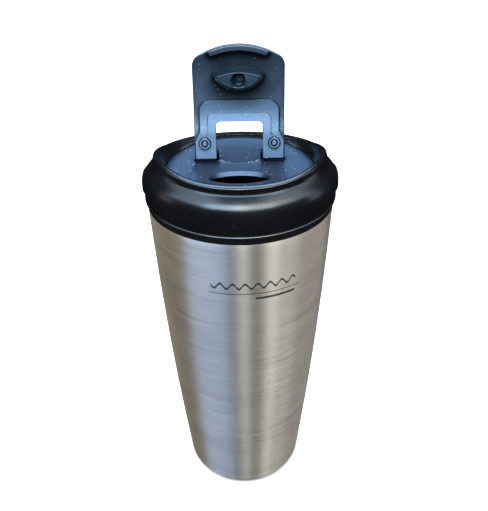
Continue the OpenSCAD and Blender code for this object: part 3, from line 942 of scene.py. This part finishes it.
def studio_world():
    """White surroundings for the eye and for soft light, dim ones for reflections."""
    world = bpy.data.worlds.new("studio")
    bpy.context.scene.world = world
    s = Shader(world)
    ray = s.add("LightPath")
    final = s.mixed(ray.outputs["Is Glossy Ray"], (1.0, 1.0, 1.0), DIM_SKY)
    background = s.tree.nodes["Background"]
    s.link(final, background.inputs["Color"])
    background.inputs["Strength"].default_value = 1.0


def receivers(name, objects):
    """A collection of the objects that a light is for."""
    group = bpy.data.collections.new(name)
    for obj in objects:
        group.objects.link(obj)
    return group


def card(name, azimuth_deg, height_deg, across_deg, up_deg, colour, group):
    """A glowing card round the mug. Azimuth counts from the front to the right, height from the
    horizon, and colour is the card's brightness."""
    reach = 1.2
    azimuth, height = math.radians(azimuth_deg), math.radians(height_deg)
    toward = Vector((math.sin(azimuth) * math.cos(height), -math.cos(azimuth) * math.cos(height),
                     math.sin(height)))
    light = bpy.data.lights.new(name, "AREA")
    light.shape = "RECTANGLE"
    light.size = 2 * reach * math.tan(math.radians(across_deg / 2))
    light.size_y = 2 * reach * math.tan(math.radians(up_deg / 2))
    strength = max(colour)
    light.color = [c / strength for c in colour]
    light.energy = strength * math.pi * light.size * light.size_y
    lamp = bpy.data.objects.new(name, light)
    lamp.location = AIM + toward * reach
    lamp.rotation_euler = (-toward).to_track_quat("-Z", "Y").to_euler()
    bpy.context.scene.collection.objects.link(lamp)
    lamp.light_linking.receiver_collection = group
    return lamp


AIM = Vector((0, 0, 0.17))
DIM_FLOOR = (0.012, 0.011, 0.010)
DIM_SKY = (0.014, 0.016, 0.020)
# Cards, as azimuth, height, width, length and brightness. The steel's stand round it: a blue window
# on the left, a narrow lamp in front, another on the right with a dimmer one beside it, a dim warm
# wall at each side, and a grey one behind.
STEEL_CARDS = [
    (-95, 25, 70, 70, (0.8, 0.7, 0.5)),
    (-42, 25, 50, 70, (1.8, 2.2, 3.0)),
    (2, 25, 9, 70, (5.0, 5.0, 4.5)),
    (36, 25, 14, 70, (4.5, 4.5, 4.0)),
    (58, 25, 24, 70, (2.0, 2.0, 1.8)),
    (95, 25, 50, 70, (1.3, 1.2, 1.1)),
    (180, 25, 100, 70, (0.8, 0.8, 0.8)),
]
# Cards for the flap: a low bright window, a paler strip over it, and a high one for its top edges
FLAP_CARDS = [
    (-18, -14.5, 60, 22, (14.0, 23.0, 33.0)),
    (-12, 12, 60, 10, (2.6, 4.0, 5.2)),
    (-5, 74, 70, 44, (20.0, 28.0, 38.0)),
    (165, 15, 60, 30, (0.9, 1.3, 1.9)),
]
# Cards for the deck: a broad blue one behind, and one overhead for the hole's bevel
DECK_CARDS = [
    (-168, 24, 84, 30, (0.78, 1.55, 3.0)),
    (0, 88, 110, 34, (6.0, 10.0, 16.0)),
]
# Cards for the lid's shell and the collar: windows for the shoulder, one behind for the lip, and
# a dim one on each side
SHELL_CARDS = [
    (-50, 40, 20, 20, (1.8, 2.6, 3.8)),
    (-20, 43, 38, 32, (8.0, 11.0, 14.0)),
    (18, 43, 38, 32, (10.0, 10.5, 10.0)),
    (52, 42, 24, 24, (4.0, 4.6, 4.6)),
    (180, 72, 50, 30, (7.0, 10.5, 15.0)),
    (-90, 8, 16, 50, (0.9, 1.0, 1.1)),
    (90, 8, 16, 50, (1.4, 1.6, 2.0)),
    (-78, 50, 30, 40, (2.4, 3.2, 4.0)),
    (78, 50, 30, 40, (2.4, 2.8, 3.2)),
]
# Cards for the floor
FLOOR_CARDS = [
    (-45, 60, 30, 30, (12.0, 12.0, 12.5)),
    (50, 60, 30, 30, (10.0, 10.0, 9.6)),
    (170, 55, 30, 30, (9.0, 9.0, 9.3)),
]


def light_rig(floor):
    """One set of cards each for the steel, the flap, the deck, the other black parts and the floor.
    Only the flap can stand in the way of the flap's cards."""
    shown = list(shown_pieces())
    steel = [o for o in shown if o.name.startswith("steel_wall")]
    flap = [o for o in shown if o.name.startswith(("flap_", "bracket_", "stake_", "plug_"))]
    deck = [o for o in shown if o.name.startswith(("deck_", "pin_"))]
    shell = [o for o in shown if o not in steel + flap + deck]
    for name, cards, objects in (("steel", STEEL_CARDS, steel), ("flap", FLAP_CARDS, flap),
                                 ("deck", DECK_CARDS, deck), ("shell", SHELL_CARDS, shell),
                                 ("floor", FLOOR_CARDS, [floor])):
        group = receivers("lit_" + name, objects)
        for i, (azimuth, height, across, up, colour) in enumerate(cards):
            lamp = card(f"card_{name}_{i}", azimuth, height, across, up, colour, group)
            if name == "flap":
                lamp.light_linking.blocker_collection = group


# Camera: its place, pitch, turn and roll, and the lens on a 36 mm sensor
CAMERA_PLACE = Vector((0.0, -0.25628, 0.30074))
CAMERA_PITCH = math.radians(33.29)
CAMERA_TURN = math.radians(0.27)
CAMERA_ROLL = math.radians(-0.81)
CAMERA_LENS = 44.53


def add_camera():
    """Camera above the rim, looking down on the lid."""
    ahead = Vector((math.sin(CAMERA_TURN) * math.cos(CAMERA_PITCH),
                    math.cos(CAMERA_TURN) * math.cos(CAMERA_PITCH), -math.sin(CAMERA_PITCH)))
    right = Vector((math.cos(CAMERA_TURN), -math.sin(CAMERA_TURN), 0))
    up = right.cross(ahead)
    c, s = math.cos(CAMERA_ROLL), math.sin(CAMERA_ROLL)
    right, up = c * right + s * up, c * up - s * right
    turn = Matrix((right, up, -ahead)).transposed()
    data = bpy.data.cameras.new("camera")
    data.lens = CAMERA_LENS
    data.sensor_width = 36
    data.clip_start = 0.01
    camera = bpy.data.objects.new("camera", data)
    camera.matrix_world = Matrix.Translation(CAMERA_PLACE) @ turn.to_4x4()
    bpy.context.scene.collection.objects.link(camera)
    bpy.context.scene.camera = camera


light_rig(stage_floor())
studio_world()
add_camera()
bpy.context.scene.view_settings.view_transform = "Standard"
